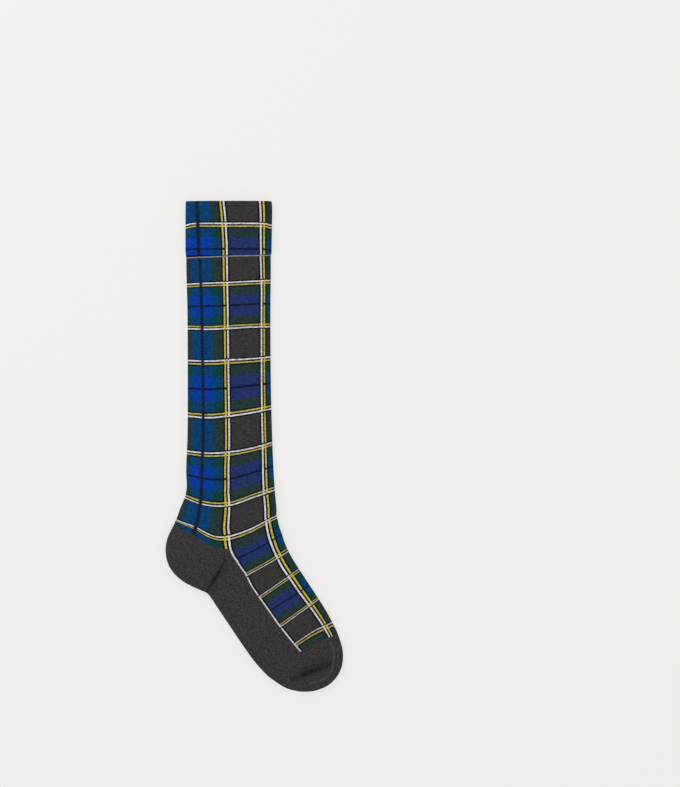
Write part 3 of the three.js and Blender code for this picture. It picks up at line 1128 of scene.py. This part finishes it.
@dataclass
class Cuff:
    """The turned welt at the top, two layers thick with a rounded rim."""

    form: SockForm
    lay: KnitLay
    wall: float = 2.4
    rim_start: float = 0.86
    edge_sag: float = 1.7
    sag_share: float = 0.06
    tuck_depth: float = 0.7
    tuck_width: float = 0.8
    rows: int = 52
    cloth: FlatCloth = FlatCloth(190.0, 57.2)
    phases: tuple[float, ...] = (-8.3, 15.49, 39.375, 46.0)
    heights: tuple[float, ...] = (57.2, 33.4, 6.6, 0.0)
    even_wales: tuple[float, ...] = (-20.0, 98.0, 116.025, 133.875, 147.0, 154.0, 160.0)
    turned_wales: tuple[float, ...] = (-20.0, 98.0, 122.7, 133.875, 145.0, 154.0, 160.0)

    def place(self, column: Numbers, down: Numbers, layer: Layer) -> Pair:
        """Return the points and stitches of one face, from the rim down to the welt line."""
        sign = 1.0 if layer is Layer.OUTER else -1.0
        rim = self.wall / 2
        angle = np.clip(1 - down / (1 - self.rim_start), 0, 1) * math.pi / 2
        run = np.clip((down - (1 - self.rim_start)) / self.rim_start, 0, 1)
        height = (self.form.cuff_height - rim) * (1 - run) + rim * np.sin(angle)
        inset = rim - sign * rim * np.cos(angle)
        girth = self.lay.girth(column, -height)
        share = self.form.share_at(girth)
        tilt = self.lay.course(np.full_like(share, self.lay.welt), share)
        sag = self.edge_sag * np.exp(-((np.minimum(share, 1 - share) / self.sag_share) ** 2))
        height = height - tilt * (1 - height / self.form.cuff_height)
        up = height / self.form.cuff_height
        if layer is Layer.OUTER:
            inset = inset + self.tuck_depth * np.exp(-((height + tilt) / self.tuck_width) ** 2)
        back, front, crown = self.form.cuff_reach(up)
        half = (back + front) / 2 - inset
        across, z = self.form.profile(girth, half, inset, crown - inset)
        x = (front - back) / 2 + across
        y = self.form.leg_length + height
        fade = np.clip(1 - np.abs(across / half) ** self.form.crown_power, 0, 1)
        z = z + np.where(np.mod(girth, 2.0) <= 1, self.form.wave(x, y) * fade, 0.0)
        sunk = height + sag * 4 * np.clip(up * (1 - up), 0, None)
        phase = np.interp(-sunk, [-h for h in self.heights], self.phases)
        wale = np.interp(self.lay.wale_place(column), self.even_wales, self.turned_wales)
        return mm(self.form.placed(x, y, z)), stitches_at(wale, phase)

    def build(self, finish: Material) -> bpy.types.Object:
        """Build the cuff."""
        return KnitWall(
            self.form, Zone.CUFF, finish, 0, COLUMNS_ROUND, self.rows, self.place, self.cloth,
            joined_start=True,
        ).build()


@dataclass
class Leg:
    """The tartan tube from the welt line to the ankle."""

    form: SockForm
    lay: KnitLay
    wall: float = 1.2
    rows: int = 232
    cloth: FlatCloth = FlatCloth(182.0, 303.0)

    def place(self, column: Numbers, down: Numbers, layer: Layer) -> Pair:
        """Return the points and stitches of one face."""
        inset = self.wall if layer is Layer.INNER else 0.0
        return self.lay.tartan(column, down, self.lay.welt, self.lay.ankle, inset)

    def build(self, finish: Material) -> bpy.types.Object:
        """Build the leg."""
        return KnitWall(
            self.form, Zone.LEG, finish, 0, COLUMNS_ROUND, self.rows, self.place, self.cloth
        ).build()


@dataclass
class Foot:
    """The heel, the instep and the sole."""

    form: SockForm
    lay: KnitLay
    wall: float = 1.3
    heel_rows: int = 50
    instep_rows: int = 130
    sole_rows: int = 104
    heel_cloth: FlatCloth = FlatCloth(140.0, 62.0, 0.7)
    instep_cloth: FlatCloth = FlatCloth(96.0, 143.0)
    sole_cloth: FlatCloth = FlatCloth(92.0, 112.0)
    fold_slack: float = 1.05
    under_start: float = 200.0

    def inset(self, layer: Layer) -> float:
        """Return how far inside the outer face a face lies."""
        return self.wall if layer is Layer.INNER else 0.0

    def plain_stitches(self, along: Numbers, girth: Numbers) -> Numbers:
        """Return the knitting map of a plain zone, with stitches of even size.

        Args:
            along: How far down the tube.
            girth: Place round the tube.

        Returns:
            The two numbers of the knitting map.
        """
        outer = self.form.surface(along, girth, 0.0)
        back, front, _ = self.form.reach(along)
        ankle = self.form.ankle
        ahead, across = self.form.in_foot(outer[:, 0] - ankle[0], outer[:, 1] - ankle[1])
        place = np.mod(girth, 2.0)
        under = place > 1
        turned = np.where(under, 1 - (place - 1), place)
        over = (turned - self.form.share_at(girth)) * (back + front) * self.fold_slack
        return stitches_at(np.where(under, self.under_start - across - over, across + over), ahead)

    def plain(self, column: Numbers, along: Numbers, layer: Layer) -> Pair:
        """Return the points and stitches of a plain zone."""
        girth = self.lay.girth(column, along)
        points = self.form.surface(along, girth, self.inset(layer))
        return mm(points), self.plain_stitches(along, girth)

    def heel(self, column: Numbers, down: Numbers, layer: Layer) -> Pair:
        """Return the points and stitches of one face of the heel."""
        top, _ = self.lay.settle(column, np.full_like(down, self.lay.ankle))
        low = self.lay.heel_end(column)
        return self.plain(column, top + (low - top) * down, layer)

    def sole(self, column: Numbers, down: Numbers, layer: Layer) -> Pair:
        """Return the points and stitches of one face of the sole."""
        top = self.lay.heel_end(column)
        low, _ = self.lay.settle(column, np.full_like(down, self.lay.toe))
        return self.plain(column, top + (low - top) * down, layer)

    def instep(self, column: Numbers, down: Numbers, layer: Layer) -> Pair:
        """Return the points and stitches of one face of the instep."""
        return self.lay.tartan(column, down, self.lay.ankle, self.lay.toe, self.inset(layer))

    def build(self, tartan: Material, heel: Material, sole: Material) -> None:
        """Build the three zones."""
        top = (0, INSTEP_COLUMNS)
        low = (INSTEP_COLUMNS, COLUMNS_ROUND)
        KnitWall(
            self.form, Zone.HEEL, heel, *low, self.heel_rows, self.heel, self.heel_cloth
        ).build()
        KnitWall(
            self.form, Zone.INSTEP, tartan, *top, self.instep_rows, self.instep, self.instep_cloth
        ).build()
        KnitWall(
            self.form, Zone.SOLE, sole, *low, self.sole_rows, self.sole, self.sole_cloth
        ).build()


@dataclass
class Toe:
    """The plain toe cap and the linked seam across its top."""

    form: SockForm
    lay: KnitLay
    foot: Foot
    rows: int = 66
    cloth: FlatCloth = FlatCloth(170.0, 46.0, 0.83)
    cap_share: float = 0.14
    cap_reach: float = 1.0
    tip_height: float = 0.5
    seam_width: float = 2.3
    seam_height: float = 0.9
    seam_segments: int = 96
    seam_sides: int = 10
    seam_links: int = 44
    link_swell: float = 0.1
    end_power: int = 24
    seam_line: tuple[tuple[float, float], ...] = (
        (0.79, 0.69),
        (0.845, 0.635),
        (0.885, 0.545),
        (0.92, 0.425),
        (0.944, 0.285),
        (0.953, 0.11),
        (0.945, -0.07),
        (0.925, -0.25),
    )

    def place(self, column: Numbers, down: Numbers, layer: Layer) -> Pair:
        """Return the points and stitches of one face of the toe cap."""
        inset = self.foot.inset(layer)
        start, _ = self.lay.settle(column, np.full_like(down, self.lay.toe))
        end = self.form.end - self.cap_reach - inset
        run = np.clip(down / (1 - self.cap_share), 0, 1)
        along = start + (end - start) * np.sin(run * math.pi / 2)
        girth = self.lay.girth(column, along)
        points = self.form.surface(along, girth, inset)
        angle = np.clip((down - 1 + self.cap_share) / self.cap_share, 0, 1) * math.pi / 2
        x, y, to_x, to_y = self.form.spine(along)
        back, front, crown = self.form.reach(along)
        offset = (front - back) / 2
        centre = self.form.placed(x + to_x * offset, y + to_y * offset, crown * self.tip_height)
        turn = self.form.foot_turn
        ahead = np.array([math.sin(turn), -math.cos(turn), 0.0])
        shrink = np.cos(angle)[:, None]
        beyond = (self.cap_reach * np.sin(angle) ** 2)[:, None]
        points = centre + (points - centre) * shrink + ahead * beyond
        return mm(points), self.foot.plain_stitches(along, girth)

    def build(self, finish: Material, seam_finish: Material) -> None:
        """Build the toe cap and its seam."""
        KnitWall(
            self.form, Zone.TOE, finish, 0, COLUMNS_ROUND, self.rows, self.place, self.cloth,
            poles=True,
        ).build()
        self._seam(seam_finish)

    def _path(self, at: Numbers) -> Numbers:
        """Return points of the seam's line, ahead of the ankle and across, in millimetres."""
        line = np.array(self.seam_line) * [self.form.foot_ahead, self.form.foot_half]
        marks = list(np.linspace(0, 1, len(line)))
        return np.stack([through(marks, line[:, k], at) for k in (0, 1)], axis=-1)

    def _seam(self, finish: Material) -> None:
        """Build the seam as a low ridge of linked yarn that lies on the toe."""
        bm = bmesh.new()
        knit = bm.loops.layers.uv.new("knit")
        made = bmesh.ops.create_grid(
            bm, x_segments=self.seam_sides, y_segments=self.seam_segments, size=0.5
        )
        flat = np.array([v.co[:2] for v in made["verts"]]) + 0.5
        path = self._path(flat[:, 1])
        ahead = self._path(flat[:, 1] + 1e-3) - path
        ahead = ahead / np.linalg.norm(ahead, axis=1)[:, None]
        side = np.stack([-ahead[:, 1], ahead[:, 0]], axis=-1)
        turn = flat[:, 0] * 2 * math.pi
        ends = np.sqrt(np.clip(1 - np.abs(flat[:, 1] * 2 - 1) ** self.end_power, 0, 1))
        pulse = 1 + self.link_swell * np.sin(flat[:, 1] * 2 * math.pi * self.seam_links)
        wide = self.seam_width / 2 * ends * pulse
        spot = path + side * (wide * np.cos(turn))[:, None]
        sine = math.sin(self.form.foot_turn)
        cosine = math.cos(self.form.foot_turn)
        x = spot[:, 0] * sine + spot[:, 1] * cosine
        y = -spot[:, 0] * cosine + spot[:, 1] * sine
        ridge = self.seam_height / 2 * ends * np.sin(turn) * pulse
        points = mm(self.form.placed(x, y, self._top(spot[:, 0], spot[:, 1], x, y) + ridge))
        for vertex, point in zip(made["verts"], points):
            vertex.co = point
        for face in bm.faces:
            for loop in face.loops:
                place = flat[loop.vert.index]
                loop[knit].uv = (place[0] * 4, place[1] * 110)
        bmesh.ops.remove_doubles(bm, verts=bm.verts, dist=SAME_PLACE)
        bmesh.ops.recalc_face_normals(bm, faces=bm.faces)
        finish_piece(bm, finish, Zone.TOE_SEAM)

    def _top(self, ahead: Numbers, across: Numbers, x: Numbers, y: Numbers) -> Numbers:
        """Return the height of the toe's top at points of the foot's frame."""
        back, front, crown = self.form.reach(self.form.foot_start + ahead - self.form.tangent)
        half = (back + front) / 2
        share = np.clip((across - (front - back) / 2) / half, -1, 1)
        lift = np.sqrt(np.clip(1 - np.abs(share) ** self.form.crown_power, 0, 1))
        rise = crown * self.form.fold_rise
        return rise + (crown - rise - self.form.dent(x, y) + self.form.wave(x, y)) * lift


@dataclass
class Studio:
    """The plain floor, the soft light and the camera straight above."""

    floor_colour: Colour = (243, 241, 239)
    camera_x: float = 0.08998
    camera_y: float = 0.05574
    frame_height: float = 0.8264
    lens: float = 100.0
    sock_plane: float = 0.005
    sky: float = 0.72
    softbox: float = 14.0
    softbox_size: float = 1.2
    softbox_place: tuple[float, float, float] = (-1.1, 1.3, 1.7)
    softbox_turn: tuple[float, float] = (-36.0, -32.0)
    floor_glow: float = 0.75
    floor_half: float = 4.0
    floor_drop: float = 0.0004

    def build(self) -> None:
        """Build the floor, lights and camera."""
        self._floor()
        self._light()
        self._camera()

    def _floor(self) -> None:
        """Build the floor, just under the sock."""
        bm = bmesh.new()
        bmesh.ops.create_grid(bm, x_segments=1, y_segments=1, size=self.floor_half)
        bmesh.ops.translate(bm, verts=bm.verts, vec=(0, 0, -self.floor_drop))
        mesh = bpy.data.meshes.new("floor")
        bm.to_mesh(mesh)
        bm.free()
        floor = bpy.data.objects.new("floor", mesh)
        bpy.context.scene.collection.objects.link(floor)
        mesh.materials.append(self._floor_paint())

    def _light(self) -> None:
        """Light the scene with an even sky and one large softbox."""
        world = bpy.data.worlds.new("studio")
        world.use_nodes = True
        sky = world.node_tree.nodes["Background"].inputs
        sky[0].default_value = (1, 1, 1, 1)
        sky[1].default_value = self.sky
        bpy.context.scene.world = world
        bpy.context.scene.view_settings.view_transform = "Standard"
        light = bpy.data.lights.new("softbox", "AREA")
        light.shape = "SQUARE"
        light.size = self.softbox_size
        light.energy = self.softbox
        lamp = bpy.data.objects.new("softbox", light)
        lamp.location = self.softbox_place
        lamp.rotation_euler = (*(math.radians(turn) for turn in self.softbox_turn), 0)
        bpy.context.scene.collection.objects.link(lamp)

    def _camera(self) -> None:
        """Set the camera straight above."""
        camera = bpy.data.cameras.new("camera")
        camera.lens = self.lens
        camera.sensor_width = 36.0
        camera.sensor_fit = "AUTO"
        eye = bpy.data.objects.new("camera", camera)
        distance = self.frame_height * self.lens / camera.sensor_width
        eye.location = (self.camera_x, self.camera_y, self.sock_plane + distance)
        bpy.context.scene.collection.objects.link(eye)
        bpy.context.scene.camera = eye

    def _floor_paint(self) -> Material:
        """Return the pale floor, lit a little by itself so that shadows stay soft."""
        paint = bpy.data.materials.new("pale_floor")
        paint.use_nodes = True
        shader = paint.node_tree.nodes["Principled BSDF"].inputs
        shade = linear(self.floor_colour)
        dimmed = [(1 - self.floor_glow) * part for part in shade[:3]]
        shader["Base Color"].default_value = (*dimmed, 1.0)
        shader["Roughness"].default_value = 1.0
        shader["Specular IOR Level"].default_value = 0.0
        shader["Emission Color"].default_value = shade
        shader["Emission Strength"].default_value = self.floor_glow + 0.01
        return paint


def main() -> None:
    """Build the sock zone by zone in its studio."""
    logging.basicConfig(level=logging.INFO, format="%(name)s: %(message)s")
    Studio().build()
    form = SockForm()
    lay = KnitLay(form)
    marl = MarlFinish()
    # The cuff's last courses are painted near-black: a painted shadow where its edge tucks over the
    # leg.
    cuff_with_edge_shadow = TartanFinish(line_colour=LINE_BLACK, line_after=69.5, line_before=90.0)
    # The leg's first course is the pale welt line: partly linking yarn, partly a painted highlight on
    # the welt's edge.
    welt = TartanFinish(line_colour=WELT_LINE, line_after=-90.0, line_before=-16.5)
    Cuff(form, lay).build(cuff_with_edge_shadow.material("tartan_cuff_knit"))
    Leg(form, lay).build(welt.material("tartan_leg_knit"))
    foot = Foot(form, lay)
    instep = TartanFinish(sett=Sett(row_white=(176, 174, 172), row_yellow=(160, 147, 70)))
    tartan = instep.material("tartan_instep_knit")
    foot.build(tartan, marl.material("heel_knit"), marl.material("sole_knit"))
    seam = MarlFinish(dark=(56, 54, 55), pale=(82, 79, 79))
    # The toe's creases get darker painted shade.
    toe = MarlFinish(painted_crease_shade=0.72)
    Toe(form, lay, foot).build(toe.material("toe_knit"), seam.material("seam_knit"))


if __name__ == "__main__":
    main()
